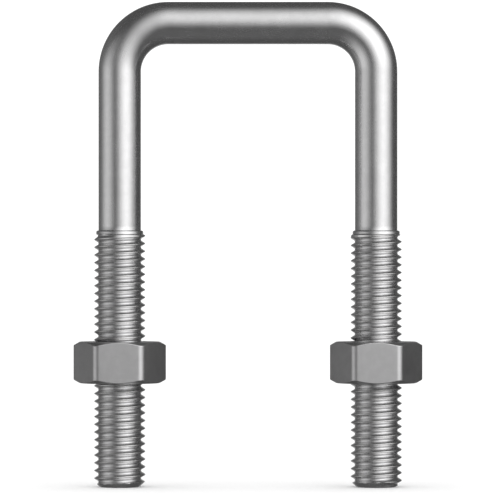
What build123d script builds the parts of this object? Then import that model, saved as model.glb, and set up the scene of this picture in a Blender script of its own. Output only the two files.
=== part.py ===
from build123d import *
from math import radians, sqrt, tan
import os

# A square-crown U-bolt: one bent round bar, threaded on both legs, with a hex nut on each leg.
# The origin is midway between the legs, level with their ends. +Z runs up the legs to the crown,
# +X from the left leg to the right one, and -Y is the front. Sizes are in millimetres.

# The bent bar
LEG_SPACING = 50.0  # from leg axis to leg axis
HEIGHT = 94.6  # from the leg ends to the top of the crown
BAR_DIAMETER = 8.3
BEND_RADIUS = 9.45  # of the bar's centre line

# The thread, M10 x 1.5 right-hand, with the basic 60 degree profile
THREAD_DIAMETER = 10.0
PITCH = 1.5
THREADED_LENGTH = 50.0
THREAD_DEPTH = 5 / 8 * sqrt(3) / 2 * PITCH
RIDGE_FLAT = PITCH / 8  # the width of the bolt thread's ridge at its top
GROOVE_FLAT = PITCH / 4  # the width of its groove at the bottom
FLANK_SPREAD = 2 * tan(radians(30))  # what a groove widens by in each millimetre of radius
THREAD_CLEARANCE = 0.14  # radial, between the bolt thread and the nut thread
GROOVE_LENGTH = 48.95  # up the leg, from its end to where the groove stops beside the collar

# The ends of the threaded stretch
POINT_CHAMFER = 1.1
COLLAR_DIAMETER = 9.2  # the unthreaded collar between the thread and the plain bar
COLLAR_LENGTH = 0.9
COLLAR_CHAMFER = 0.2

# The nuts
NUT_ACROSS_FLATS = 16.0
NUT_HEIGHT = 8.1
NUT_UNDERSIDE = 20.25  # above the leg ends
NUT_CORNER_RADIUS = 1.5
NUT_FACE_DIAMETER = 15.6  # of the flat that the 30 degree chamfer leaves on each face
COUNTERSINK_DIAMETER = 10.8

# The stock that is left on a piece while its thread is cut, and then trimmed off
STOCK = 3 * PITCH
CUTTER_EXCESS = 0.1  # how far a thread cutter reaches past the surface that it cuts

# Each leg's place, and the angle about its axis at which its thread's groove meets its end
LEFT, RIGHT = -LEG_SPACING / 2, LEG_SPACING / 2
GROOVE_START = {LEFT: -48, RIGHT: -136}

bar_radius = BAR_DIAMETER / 2
ridge_radius = THREAD_DIAMETER / 2
groove_radius = ridge_radius - THREAD_DEPTH
collar_radius = COLLAR_DIAMETER / 2
bore_radius = groove_radius + THREAD_CLEARANCE
nut_top = NUT_UNDERSIDE + NUT_HEIGHT
chamfer_slope = tan(radians(30))


def leg_axis(x):
    """The axis of the leg at x."""
    return Axis((x, 0, 0), (0, 0, 1))


def leg_plane(x):
    """The plane of the U, with its origin at the end of the leg at x."""
    return Plane(origin=(x, 0, 0), x_dir=(1, 0, 0), z_dir=(0, -1, 0))


def thread_cutter(tip_radius, tip_width, mouth_radius, turns, place):
    """A right-hand helical cutter of V section, which climbs one pitch a turn from its place."""
    mouth_width = tip_width + FLANK_SPREAD * abs(mouth_radius - tip_radius)
    with BuildPart() as cutter:
        with BuildLine():
            Helix(pitch=PITCH, height=turns * PITCH, radius=tip_radius)
        with BuildSketch(Plane.XZ):
            with BuildLine():
                Polyline(
                    (tip_radius, -tip_width / 2),
                    (mouth_radius, -mouth_width / 2),
                    (mouth_radius, mouth_width / 2),
                    (tip_radius, tip_width / 2),
                    close=True,
                )
            make_face()
        sweep(is_frenet=True)
    return cutter.part.moved(place)


def threaded_leg(x):
    """The lower stretch of the leg at x: thread, chamfered point and collar."""
    first_height = PITCH - STOCK
    turns = (GROOVE_LENGTH - first_height) / PITCH
    start = Location((x, 0, first_height), (0, 0, GROOVE_START[x]))
    thread_top = THREADED_LENGTH - COLLAR_LENGTH
    clear_radius = ridge_radius + 1
    with BuildPart() as leg:
        with BuildSketch(Plane.XY.offset(-STOCK)):
            with Locations((x, 0)):
                Circle(ridge_radius)
        extrude(amount=THREADED_LENGTH + STOCK)
        add(
            thread_cutter(groove_radius, GROOVE_FLAT, ridge_radius + CUTTER_EXCESS, turns, start),
            mode=Mode.SUBTRACT,
        )
        with BuildSketch(leg_plane(x)):
            with BuildLine():
                Polyline(
                    (0, 0),
                    (ridge_radius - POINT_CHAMFER, 0),
                    (clear_radius, clear_radius - ridge_radius + POINT_CHAMFER),
                    (clear_radius, -STOCK - 1),
                    (0, -STOCK - 1),
                    close=True,
                )
            make_face()
            with BuildLine():
                Polyline(
                    (clear_radius, thread_top),
                    (ridge_radius, thread_top),
                    (collar_radius, thread_top + COLLAR_CHAMFER),
                    (collar_radius, THREADED_LENGTH - COLLAR_CHAMFER),
                    (collar_radius - COLLAR_CHAMFER, THREADED_LENGTH),
                    (clear_radius, THREADED_LENGTH),
                    close=True,
                )
            make_face()
        revolve(axis=leg_axis(x), mode=Mode.SUBTRACT)
    return leg.part


def face_trim(face, outward):
    """What lies beyond a nut's face, with its 30 degree chamfer and its countersink, as an outline."""
    far = face + outward * (STOCK + 1)
    clear_radius = NUT_ACROSS_FLATS
    chamfer_depth = chamfer_slope * (clear_radius - NUT_FACE_DIAMETER / 2)
    countersink_depth = chamfer_slope * COUNTERSINK_DIAMETER / 2
    return [
        (0, far),
        (clear_radius, far),
        (clear_radius, face - outward * chamfer_depth),
        (NUT_FACE_DIAMETER / 2, face),
        (COUNTERSINK_DIAMETER / 2, face),
        (0, face - outward * countersink_depth),
    ]


def hex_nut(x):
    """The nut on the leg at x, with a flat to the front and its thread in step with the leg's."""
    first_turn = NUT_UNDERSIDE // PITCH - 1
    start = Location((x, 0, (first_turn + 0.5) * PITCH), (0, 0, GROOVE_START[x]))
    turns = NUT_HEIGHT // PITCH + 3
    with BuildPart() as nut:
        with BuildSketch(Plane.XY.offset(NUT_UNDERSIDE - STOCK)):
            with Locations((x, 0)):
                RegularPolygon(radius=NUT_ACROSS_FLATS / 2, side_count=6, major_radius=False)
                fillet(vertices(), NUT_CORNER_RADIUS)
                Circle(bore_radius, mode=Mode.SUBTRACT)
        extrude(amount=NUT_HEIGHT + 2 * STOCK)
        add(
            thread_cutter(
                ridge_radius + THREAD_CLEARANCE,
                RIDGE_FLAT,
                bore_radius - CUTTER_EXCESS,
                turns,
                start,
            ),
            mode=Mode.SUBTRACT,
        )
        for face, outward in ((NUT_UNDERSIDE, -1), (nut_top, 1)):
            with BuildSketch(leg_plane(x)):
                with BuildLine():
                    Polyline(*face_trim(face, outward), close=True)
                make_face()
            revolve(axis=leg_axis(x), mode=Mode.SUBTRACT)
    return nut


with BuildPart() as u_rod:
    crown_axis = HEIGHT - bar_radius
    with BuildLine(Plane.XZ):
        FilletPolyline(
            (LEFT, THREADED_LENGTH),
            (LEFT, crown_axis),
            (RIGHT, crown_axis),
            (RIGHT, THREADED_LENGTH),
            radius=BEND_RADIUS,
        )
    with BuildSketch(Plane.XY.offset(THREADED_LENGTH)):
        with Locations((LEFT, 0)):
            Circle(bar_radius)
    sweep()
    for x in (LEFT, RIGHT):
        add(threaded_leg(x))
u_rod.part.label = "u_rod"
export_step(u_rod.part, "parts/u_rod.step")

for x, name in ((LEFT, "left_nut"), (RIGHT, "right_nut")):
    nut = hex_nut(x)
    nut.part.label = name
    export_step(nut.part, f"parts/{name}.step")
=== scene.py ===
from bisect import bisect_right
from math import atan2, ceil, cos, degrees, floor, radians, sin, sqrt, tan

import bmesh
import bpy
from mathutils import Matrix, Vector


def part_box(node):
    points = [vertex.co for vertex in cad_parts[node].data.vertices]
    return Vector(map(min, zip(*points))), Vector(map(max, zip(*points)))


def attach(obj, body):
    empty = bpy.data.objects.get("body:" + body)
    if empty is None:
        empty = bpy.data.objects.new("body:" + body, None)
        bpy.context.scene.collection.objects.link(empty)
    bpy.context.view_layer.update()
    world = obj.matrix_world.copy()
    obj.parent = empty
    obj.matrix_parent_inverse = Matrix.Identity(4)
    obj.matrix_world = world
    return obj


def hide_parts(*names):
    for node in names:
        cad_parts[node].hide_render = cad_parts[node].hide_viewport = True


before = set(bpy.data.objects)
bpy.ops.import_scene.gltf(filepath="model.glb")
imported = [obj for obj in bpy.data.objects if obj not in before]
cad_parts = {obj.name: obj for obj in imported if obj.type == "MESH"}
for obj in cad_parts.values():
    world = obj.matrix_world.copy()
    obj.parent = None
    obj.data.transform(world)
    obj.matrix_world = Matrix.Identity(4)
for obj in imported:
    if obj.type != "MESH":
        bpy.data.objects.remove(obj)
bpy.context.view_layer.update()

# Each CAD node is shown as a skin of the same shape with softened edges. Lengths are in millimetres
# until a mesh is made. +Z runs up the legs and -Y is the front.
MM = 0.001

NUT_BOXES = {name: [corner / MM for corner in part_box(name)] for name in ("left_nut", "right_nut")}
LEFT, RIGHT = ((low.x + high.x) / 2 for low, high in NUT_BOXES.values())

# The bar
BAR_RADIUS = 4.15
BEND_RADIUS = 9.45  # of the centre line
CROWN_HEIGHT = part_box("u_rod")[1].z / MM - BAR_RADIUS  # of the centre line

# The thread, M10 x 1.5 right-hand, with half the widths of its ridge's top and its groove's bottom
RIDGE_RADIUS = 5.0
PITCH = 1.5
THREAD_DEPTH = 5 / 8 * sqrt(3) / 2 * PITCH
ROOT_RADIUS = RIDGE_RADIUS - THREAD_DEPTH
RIDGE_HALF = PITCH / 16
ROOT_HALF = PITCH / 8
FLANK_SLOPE = tan(radians(30))  # along the leg, by radius
GROOVE_START = {LEFT: -48, RIGHT: -136}  # degrees about the leg, where the groove meets its end

# The threaded stretch of a leg: its length, and what is at its two ends
THREADED_LENGTH = 50.0
POINT_CHAMFER = 1.1
COLLAR_RADIUS = 4.6
COLLAR_LENGTH = 0.9
COLLAR_CHAMFER = 0.2
GROOVE_LENGTH = 49.4  # up the leg, to where the groove has faded out
RUN_OUT = 0.5  # how much of the groove's climb the fading takes

# The nuts
THREAD_CLEARANCE = 0.14
NUT_FACE_RADIUS = 7.8
NUT_CORNER_RADIUS = 1.5
COUNTERSINK_RADIUS = 5.4
CHAMFER_SLOPE = tan(radians(30))  # along the nut, by radius

# How finely the skins are divided, and how far a softened edge reaches from its corner
BAR_COLUMNS = 72
BEND_ROWS = 28
STRAIGHT_ROWS = 8
CONE_ROWS = 10
COUNTERSINK_ROWS = 6
FLAT_COLUMNS = 10
HALF_CORNER_COLUMNS = 4
THREAD_EDGE = 0.16
EDGE = 0.12
MOST_SOFTENED = 0.45  # the share of a short segment that softening one of its ends may take
WELD = 0.001
SHARP_FROM = 50  # degrees between two faces


# ---------------------------------------------------------------- outlines

def steps(start, end, count):
    return [start + (end - start) * index / count for index in range(count + 1)]


def line(*points):
    return [Vector(point) for point in points]


def softened(points, reach):
    """An open line of (radius, height), with three points round each inner corner."""
    curve = [points[0]]
    for before, corner, after in zip(points, points[1:], points[2:]):
        back = before - corner
        on = after - corner
        start = corner + back.normalized() * min(reach, back.length * MOST_SOFTENED)
        end = corner + on.normalized() * min(reach, on.length * MOST_SOFTENED)
        curve += [start, (start + 2 * corner + end) / 4, end]
    return curve + [points[-1]]


def round_point(x, radius, angle, height):
    """The place at this angle, in degrees, about an upright axis at x."""
    turn = radians(angle)
    return Vector((x + radius * cos(turn), radius * sin(turn), height))


class Thread:
    """A helical groove between two radii, in the leg or in the nut.

    It is twice cut_half wide at cut_radius, and what it leaves is twice land_half wide at
    land_radius. start is the angle where its middle crosses height 0, and it fades out at end.
    """

    def __init__(self, cut_radius, cut_half, land_radius, land_half, start, end=None):
        section = softened(
            line(
                (cut_radius, 0),
                (cut_radius, cut_half),
                (land_radius, PITCH / 2 - land_half),
                (land_radius, PITCH / 2 + land_half),
                (cut_radius, PITCH - cut_half),
                (cut_radius, PITCH),
            ),
            THREAD_EDGE,
        )
        self.heights = [point.y for point in section]
        self.radii = [point.x for point in section]
        self.land_radius = land_radius
        self.start = start
        self.end = end

    def lift(self, angle):
        """How high the middle of the cut is at this angle on the lowest turn."""
        return PITCH * (angle - self.start) / 360

    def radius(self, angle, height):
        phase = (height - self.lift(angle)) % PITCH
        after = min(max(bisect_right(self.heights, phase), 1), len(self.heights) - 1)
        low, high = self.heights[after - 1 : after + 1]
        inner, outer = self.radii[after - 1 : after + 1]
        radius = inner + (outer - inner) * (phase - low) / (high - low)
        if self.end is None:
            return radius
        middle = height - (phase if phase < PITCH / 2 else phase - PITCH)
        depth = min(max((self.end - middle) / RUN_OUT, 0), 1)
        return self.land_radius + (radius - self.land_radius) * depth

    def rows(self, low, high):
        """The heights, at angle 0, of the rows along the helix that reach between two planes."""
        first = floor((low - self.lift(0)) / PITCH) - 1
        last = ceil((high - self.lift(0)) / PITCH)
        return [
            self.lift(0) + turn * PITCH + height
            for turn in range(first, last + 1)
            for height in self.heights[:-1]
        ]


# ---------------------------------------------------------------- skins

class Skin:
    """Patches of quads whose borders coincide, welded into one closed mesh.

    A point of a patch is (place, (across, along) the tool marks, recess, edge). Recess is 1 at the
    bottom of a thread's groove and 0 outside it, and drives painted shade there. Edge is 1 on an
    edge or a ridge, which is painted brighter, partly for wear and partly as a painted highlight.
    """

    def __init__(self):
        self.mesh = bmesh.new()
        self.marks = self.mesh.loops.layers.uv.new("marks")
        self.recess = self.mesh.verts.layers.float.new("recess")
        self.edge = self.mesh.verts.layers.float.new("edge")

    def vertex(self, place, marks, recess, edge):
        vert = self.mesh.verts.new(place * MM)
        vert[self.recess] = recess
        vert[self.edge] = edge
        return vert, marks

    def patch(self, rows):
        made = [[self.vertex(*point) for point in row] for row in rows]
        for lower, upper in zip(made, made[1:]):
            for corners in zip(lower, lower[1:], upper[1:], upper):
                face = self.mesh.faces.new([vert for vert, _ in corners])
                face.smooth = True
                for loop, (_, marks) in zip(face.loops, corners):
                    loop[self.marks].uv = marks

    def helix_patch(self, x, thread, angles, low, high, recess_of):
        """The threaded wall between two planes. Its rows follow the helix and stop at the planes."""
        rows = []
        for start in thread.rows(low, high):
            row = []
            for angle in angles:
                height = min(max(start + PITCH * angle / 360, low), high)
                radius = thread.radius(angle, height)
                recess = recess_of(radius)
                marks = (height + radius, radians(angle) * radius)
                row.append((round_point(x, radius, angle, height), marks, recess, 1 - recess))
            rows.append(row)
        self.patch(rows)

    def ring_patch(self, x, angles, rings, radius_of):
        """The wall through rings of (radius, height), whose radius may differ with the angle."""
        rows = []
        for ring in rings:
            row = []
            for angle in angles:
                radius = radius_of(ring, angle)
                marks = (ring.y + radius, radians(angle) * radius)
                row.append((round_point(x, radius, angle, ring.y), marks, 0, 0))
            rows.append(row)
        self.patch(rows)

    def piece(self, name, body, node, slot, material):
        bmesh.ops.remove_doubles(self.mesh, verts=self.mesh.verts, dist=WELD * MM)
        bmesh.ops.dissolve_degenerate(self.mesh, edges=self.mesh.edges, dist=WELD * MM)
        bmesh.ops.recalc_face_normals(self.mesh, faces=self.mesh.faces)
        mesh = bpy.data.meshes.new(name)
        self.mesh.to_mesh(mesh)
        self.mesh.free()
        mesh.set_sharp_from_angle(angle=radians(SHARP_FROM))
        mesh.materials.append(material)
        piece = bpy.data.objects.new(name, mesh)
        bpy.context.scene.collection.objects.link(piece)
        weighted = piece.modifiers.new("even flats", "WEIGHTED_NORMAL")
        weighted.keep_sharp = True
        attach(piece, body)
        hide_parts(node)


# ---------------------------------------------------------------- the bar

def threaded_leg(skin, x):
    """Point, thread and collar of one leg, from its end up to the plain bar."""
    angles = steps(0, 360, BAR_COLUMNS)
    thread = Thread(
        ROOT_RADIUS, ROOT_HALF, RIDGE_RADIUS, RIDGE_HALF, GROOVE_START[x], end=GROOVE_LENGTH
    )
    thread_top = THREADED_LENGTH - COLLAR_LENGTH

    def on_point(ring, angle):
        return min(ring.x, thread.radius(angle, ring.y))

    def recess_of(radius):
        return (RIDGE_RADIUS - radius) / THREAD_DEPTH

    def on_collar(ring, angle):
        return thread.radius(angle, ring.y) if ring.y <= thread_top else ring.x

    skin.ring_patch(x, angles, point_outline(), on_point)
    skin.helix_patch(x, thread, angles, POINT_CHAMFER, thread_top, recess_of)
    skin.ring_patch(x, angles, collar_outline(thread_top), on_collar)


def point_outline():
    """From the middle of the leg's end out to its chamfer's upper edge."""
    radius = RIDGE_RADIUS - POINT_CHAMFER
    flat_end = softened(line((0, 0), (radius, 0), (radius + 2 * EDGE, 2 * EDGE)), EDGE)
    rises = steps(2 * EDGE, POINT_CHAMFER, CONE_ROWS)
    return flat_end[:-1] + [Vector((radius + rise, rise)) for rise in rises]


def collar_outline(thread_top):
    """From the top of the thread over the collar to a little way up the plain bar."""
    corners = line(
        (RIDGE_RADIUS, thread_top),
        (COLLAR_RADIUS, thread_top + COLLAR_CHAMFER),
        (COLLAR_RADIUS, THREADED_LENGTH - COLLAR_CHAMFER),
        (COLLAR_RADIUS - COLLAR_CHAMFER, THREADED_LENGTH),
        (BAR_RADIUS, THREADED_LENGTH),
        (BAR_RADIUS, THREADED_LENGTH + COLLAR_LENGTH),
    )
    return softened(corners, EDGE / 2)


def bar_line():
    """The plain bar's centre line from left to right, as (x, height, degrees turned)."""
    bottom = THREADED_LENGTH + COLLAR_LENGTH
    spring = CROWN_HEIGHT - BEND_RADIUS
    left_leg = [(LEFT, height, 0) for height in steps(bottom, spring, STRAIGHT_ROWS)]
    right_leg = [(RIGHT, height, 180) for height in steps(spring, bottom, STRAIGHT_ROWS)]
    bends = []
    for centre, first in ((LEFT + BEND_RADIUS, 0), (RIGHT - BEND_RADIUS, 90)):
        for turn in steps(first, first + 90, BEND_ROWS):
            out = BEND_RADIUS * cos(radians(turn))
            up = BEND_RADIUS * sin(radians(turn))
            bends.append((centre - out, spring + up, turn))
    return left_leg[:-1] + bends + right_leg[1:]


def plain_bar(skin):
    rows = []
    along = 0
    last = None
    for x, height, turn in bar_line():
        centre = Vector((x, 0, height))
        along += (centre - last).length if last else 0
        last = centre
        inward = Vector((cos(radians(turn)), 0, -sin(radians(turn))))
        backward = Vector((0, 1, 0))
        row = []
        for angle in steps(0, 360, BAR_COLUMNS):
            side = inward * cos(radians(angle)) + backward * sin(radians(angle))
            marks = (radians(angle) * BAR_RADIUS, along)
            row.append((centre + side * BAR_RADIUS, marks, 0, 0))
        rows.append(row)
    skin.patch(rows)


def u_rod(material):
    skin = Skin()
    threaded_leg(skin, LEFT)
    threaded_leg(skin, RIGHT)
    plain_bar(skin)
    skin.piece("rod_skin", "bolt", "u_rod", "bar_steel", material)


# ---------------------------------------------------------------- the nuts

class Hexagon:
    """A hexagon with round corners, one of its flats facing the front."""

    def __init__(self, flat):
        self.flat = flat
        self.corner = (flat - NUT_CORNER_RADIUS) / cos(radians(30))  # of a corner's centre
        self.straight = degrees(atan2(self.corner / 2, flat))  # from a flat's middle to its end

    def radius(self, angle):
        from_corner = (angle + 30) % 60 - 30
        from_flat = 30 - abs(from_corner)
        if from_flat <= self.straight:
            return self.flat / cos(radians(from_flat))
        across = self.corner * sin(radians(from_corner))
        return self.corner * cos(radians(from_corner)) + sqrt(NUT_CORNER_RADIUS**2 - across**2)

    def angles(self):
        """Columns round the nut, closer together round a corner than on a flat."""
        angles = []
        for corner in range(0, 360, 60):
            first = corner + 30 - self.straight
            last = corner + 30 + self.straight
            angles += steps(corner, first, HALF_CORNER_COLUMNS)[:-1]
            angles += steps(first, last, FLAT_COLUMNS)[:-1]
            angles += steps(last, corner + 60, HALF_CORNER_COLUMNS)[:-1]
        return angles + [360]


def nut_outline(side, bottom, top):
    """From the lower countersink round the outside, this far from the axis, to the upper one."""
    drop = CHAMFER_SLOPE * (side - NUT_FACE_RADIUS)
    sink = CHAMFER_SLOPE * EDGE
    corners = line(
        (COUNTERSINK_RADIUS - EDGE, bottom + sink),
        (COUNTERSINK_RADIUS, bottom),
        (NUT_FACE_RADIUS, bottom),
        (side, bottom + drop),
        (side, top - drop),
        (NUT_FACE_RADIUS, top),
        (COUNTERSINK_RADIUS, top),
        (COUNTERSINK_RADIUS - EDGE, top - sink),
    )
    return softened(corners, EDGE)


def nut_outside(skin, x, hexagon, bottom, top):
    columns = [nut_outline(hexagon.radius(angle), bottom, top) for angle in hexagon.angles()]
    rows = []
    for index, points in enumerate(zip(*columns)):
        edge = 1 if index % 3 == 2 else 0  # the middle of the three points round a corner
        row = []
        for angle, point in zip(hexagon.angles(), points):
            marks = (point.x + point.y, radians(angle) * hexagon.flat)
            row.append((round_point(x, point.x, angle, point.y), marks, 0, edge))
        rows.append(row)
    skin.patch(rows)


def nut_bore(skin, x, angles, bottom, top):
    """The thread inside the nut and the countersinks at its ends."""
    bore = ROOT_RADIUS + THREAD_CLEARANCE
    land_half = PITCH / 2 - RIDGE_HALF - THREAD_DEPTH * FLANK_SLOPE
    start = GROOVE_START[x] - 180  # the nut's groove goes over the rod's ridge
    cut_radius = RIDGE_RADIUS + THREAD_CLEARANCE
    thread = Thread(cut_radius, RIDGE_HALF, bore, land_half, start)

    def recess_of(radius):
        return (radius - bore) / THREAD_DEPTH

    def in_countersink(ring, angle):
        return max(ring.x, thread.radius(angle, ring.y))

    depth = CHAMFER_SLOPE * (COUNTERSINK_RADIUS - bore)
    skin.helix_patch(x, thread, angles, bottom + depth, top - depth, recess_of)
    radii = steps(bore, COUNTERSINK_RADIUS - EDGE, COUNTERSINK_ROWS)
    rises = [CHAMFER_SLOPE * (COUNTERSINK_RADIUS - radius) for radius in radii]
    lower = [Vector((radius, bottom + rise)) for radius, rise in zip(radii, rises)]
    upper = [Vector((radius, top - rise)) for radius, rise in zip(radii, rises)]
    skin.ring_patch(x, angles, lower, in_countersink)
    skin.ring_patch(x, angles, upper, in_countersink)


def hex_nut(name, material):
    low, high = NUT_BOXES[name]
    x = (low.x + high.x) / 2
    hexagon = Hexagon((high.y - low.y) / 2)
    skin = Skin()
    nut_bore(skin, x, hexagon.angles(), low.z, high.z)
    nut_outside(skin, x, hexagon, low.z, high.z)
    skin.piece(name + "_skin", name, name, "nut_steel", material)


# ---------------------------------------------------------------- materials

class Nodes:
    """The nodes of a material or of the world."""

    def __init__(self, owner):
        owner.use_nodes = True
        self.tree = owner.node_tree
        self.tree.nodes.clear()

    def put(self, kind, inputs=(), **settings):
        """A node with these settings. Its inputs are set to a value, or joined to an output."""
        made = self.tree.nodes.new("ShaderNode" + kind)
        for key, value in settings.items():
            setattr(made, key, value)
        for key, value in dict(inputs).items():
            if isinstance(value, bpy.types.NodeSocket):
                self.tree.links.new(value, made.inputs[key])
            else:
                made.inputs[key].default_value = value
        return made

    def math(self, operation, *values):
        return self.put("Math", enumerate(values), operation=operation).outputs[0]

    def mixed(self, parts, base=0):
        """The sum of a base and of each part times its weight."""
        total = base
        for part, weight in parts:
            total = self.math("MULTIPLY_ADD", part, weight, total)
        return total

    def noise(self, vector, scale, detail):
        inputs = {"Vector": vector, "Scale": scale, "Detail": detail}
        return self.put("TexNoise", inputs).outputs["Fac"]

    def smooth(self, value, low, high, to_low=0, to_high=1):
        """The value carried in a smooth step from low and high to to_low and to_high."""
        inputs = {"Value": value, "From Min": low, "From Max": high}
        inputs.update({"To Min": to_low, "To Max": to_high})
        return self.put("MapRange", inputs, interpolation_type="SMOOTHSTEP").outputs["Result"]

    def shade(self, factor, first, second):
        """A colour between two, by the factor."""
        inputs = {"Factor": factor, 6: (*first, 1), 7: (*second, 1)}
        return self.put("Mix", inputs, data_type="RGBA").outputs[2]

    def tinted(self, colour, other):
        inputs = {"Factor": 1, 6: colour, 7: other}
        return self.put("Mix", inputs, data_type="RGBA", blend_type="MULTIPLY").outputs[2]


# Patterns of the finish, in cycles per metre
CLOUDS = 230
SPOTS = 620
GRAIN = 5200

WHITE = (1, 1, 1)
WORN_AND_HIGHLIGHT = (1.18, 1.18, 1.17)  # against the colour beside it; partly wear, partly a painted highlight on edges and ridges
TINT_SPREAD = (0.90, 1.08)
RELIEF_DEPTH = 0.008


class Patterns:
    """What the finish is made of, each from 0 to 1 over the surface."""

    def __init__(self, nodes, marks_scale):
        place = nodes.put("TexCoord").outputs["Object"]
        marks = nodes.put("UVMap", uv_map="marks").outputs["UV"]
        stretched = nodes.put("Mapping", {"Vector": marks, "Scale": (*marks_scale, 1)})
        edge = nodes.put("Attribute", attribute_name="edge").outputs["Fac"]
        self.clouds = nodes.noise(place, CLOUDS, detail=5)
        self.spots = nodes.smooth(nodes.noise(place, SPOTS, detail=3), 0.35, 0.7)
        self.grain = nodes.noise(place, GRAIN, detail=2)
        self.streaks = nodes.noise(stretched.outputs["Vector"], 1, detail=4)
        self.recess = nodes.put("Attribute", attribute_name="recess").outputs["Fac"]
        # edges and thread ridges: partly wear, partly a painted highlight
        self.wear_and_highlight = nodes.math("MULTIPLY", edge, nodes.smooth(self.clouds, 0.3, 0.6, 0.3, 1))


def zinc_colour(nodes, patterns, tint, groove):
    mottle = nodes.mixed(((patterns.spots, 0.3), (patterns.clouds, 0.5), (patterns.streaks, 0.2)))
    darkest, lightest = ([part * spread for part in tint] for spread in TINT_SPREAD)
    colour = nodes.shade(mottle, darkest, lightest)
    # painted shade: darker down in a thread's groove, by the colour groove
    colour = nodes.tinted(colour, nodes.shade(patterns.recess, WHITE, groove))
    # brighter on edges and a thread's ridges: wear and painted highlight
    return nodes.tinted(colour, nodes.shade(patterns.wear_and_highlight, WHITE, WORN_AND_HIGHLIGHT))


def zinc_roughness(nodes, patterns, middle):
    clouds = (patterns.clouds, 0.10)
    streaks = (patterns.streaks, 0.14)
    recess = (patterns.recess, 0.03)
    wear_and_highlight = (patterns.wear_and_highlight, -0.05)
    spread = (clouds[1] + streaks[1]) / 2
    return nodes.mixed((clouds, streaks, recess, wear_and_highlight), base=middle - spread)


def zinc_bump(nodes, patterns):
    relief = nodes.mixed(((patterns.streaks, 0.6), (patterns.grain, 0.4)))
    bump = nodes.put("Bump", {"Height": relief, "Distance": RELIEF_DEPTH * MM})
    return bump.outputs["Normal"]


def zinc(name, tint, roughness, groove, marks_scale):
    """Zinc plate on steel: cloudy in colour and gloss, with a fine grain and faint tool marks.

    Down in a thread it is rougher, and darker by painted shade, the colour called groove. Edges and
    thread ridges are brighter, partly from wear and partly as a painted highlight.
    """
    material = bpy.data.materials.new(name)
    nodes = Nodes(material)
    patterns = Patterns(nodes, marks_scale)
    inputs = {
        "Base Color": zinc_colour(nodes, patterns, tint, groove),
        "Metallic": 1,
        "Roughness": zinc_roughness(nodes, patterns, roughness),
        "Normal": zinc_bump(nodes, patterns),
    }
    shader = nodes.put("BsdfPrincipled", inputs).outputs["BSDF"]
    nodes.put("OutputMaterial", {"Surface": shader})
    return material


# ---------------------------------------------------------------- the studio

FLOOR_SIZE = 6


def pale_floor():
    bpy.ops.mesh.primitive_plane_add(size=FLOOR_SIZE)
    ground = bpy.context.object
    ground.name = "floor"
    ground.visible_glossy = False
    material = bpy.data.materials.new("pale_floor")
    nodes = Nodes(material)
    inputs = {"Base Color": (0.93, 0.93, 0.93, 1), "Roughness": 0.9, "Specular IOR Level": 0}
    shader = nodes.put("BsdfPrincipled", inputs).outputs["BSDF"]
    nodes.put("OutputMaterial", {"Surface": shader})
    ground.data.materials.append(material)


# The round soft lights: azimuth, elevation, half width out to nothing, brightness
SOFT_LIGHTS = (
    (38, 25, 69, 1.85),
    (-68, -12, 54, 0.78),
    (-115, 0, 60, 0.09),
    (0, -70, 60, 0.05),
    (180, -5, 34, 0.9),
)
ROOM_IN_GLOSS = 0.09
PALE_ROOM = 1.2
ALMOST_ONE = 0.9999  # keeps the arc cosine within its range


def direction(azimuth, elevation):
    """From the object towards a point of the room. Azimuth 0 is the front, 90 the right."""
    turn = radians(azimuth)
    rise = radians(elevation)
    return Vector((sin(turn) * cos(rise), -cos(turn) * cos(rise), sin(rise)))


def room():
    """A pale room. In gloss it is dark with round soft lights, so the metal shows those alone."""
    world = bpy.data.worlds.new("room")
    bpy.context.scene.world = world
    world.cycles.sampling_method = "NONE"
    nodes = Nodes(world)
    towards = nodes.put("TexCoord").outputs["Generated"]
    brightness = ROOM_IN_GLOSS
    for azimuth, elevation, half_width, strength in SOFT_LIGHTS:
        ends = {0: towards, 1: direction(azimuth, elevation)}
        dot = nodes.put("VectorMath", ends, operation="DOT_PRODUCT").outputs["Value"]
        away = nodes.math("ARCCOSINE", nodes.math("MINIMUM", dot, ALMOST_ONE))
        light = nodes.smooth(away, 0, radians(half_width), strength, 0)
        brightness = nodes.math("ADD", light, brightness)
    pale = nodes.put("Background", {"Color": (1, 1, 1, 1), "Strength": PALE_ROOM})
    dark = nodes.put("Background", {"Color": (1, 1, 1, 1), "Strength": brightness})
    in_gloss = nodes.put("LightPath").outputs["Is Glossy Ray"]
    mix = nodes.put("MixShader", {0: in_gloss, 1: pale.outputs[0], 2: dark.outputs[0]})
    nodes.put("OutputWorld", {"Surface": mix.outputs[0]})


CAMERA_DISTANCE = 0.85  # in front of the plane of the U
PICTURE_WIDTH = 0.0975  # what the picture spans in that plane
CAMERA_RIGHT = 0.0004
CAMERA_HEIGHT = 0.0462


def camera():
    data = bpy.data.cameras.new("camera")
    data.lens = data.sensor_width * CAMERA_DISTANCE / PICTURE_WIDTH
    data.clip_start = 0.05
    data.clip_end = 20
    item = bpy.data.objects.new("camera", data)
    bpy.context.scene.collection.objects.link(item)
    item.location = (CAMERA_RIGHT, -CAMERA_DISTANCE, CAMERA_HEIGHT)
    item.rotation_euler = (radians(90), 0, 0)
    bpy.context.scene.camera = item


# groove is the painted shade put down in a thread's groove
bar_steel = zinc(
    "bar_steel_zinc",
    tint=(0.715, 0.712, 0.716),
    roughness=0.25,
    groove=(0.99, 0.99, 0.99),
    marks_scale=(5, 0.10),
)
nut_steel = zinc(
    "nut_steel_zinc",
    tint=(0.575, 0.572, 0.576),
    roughness=0.35,
    groove=(0.80, 0.80, 0.80),
    marks_scale=(4, 0.12),
)
u_rod(bar_steel)
for name in NUT_BOXES:
    hex_nut(name, nut_steel)
bpy.context.scene.view_settings.view_transform = "Standard"
pale_floor()
room()
camera()
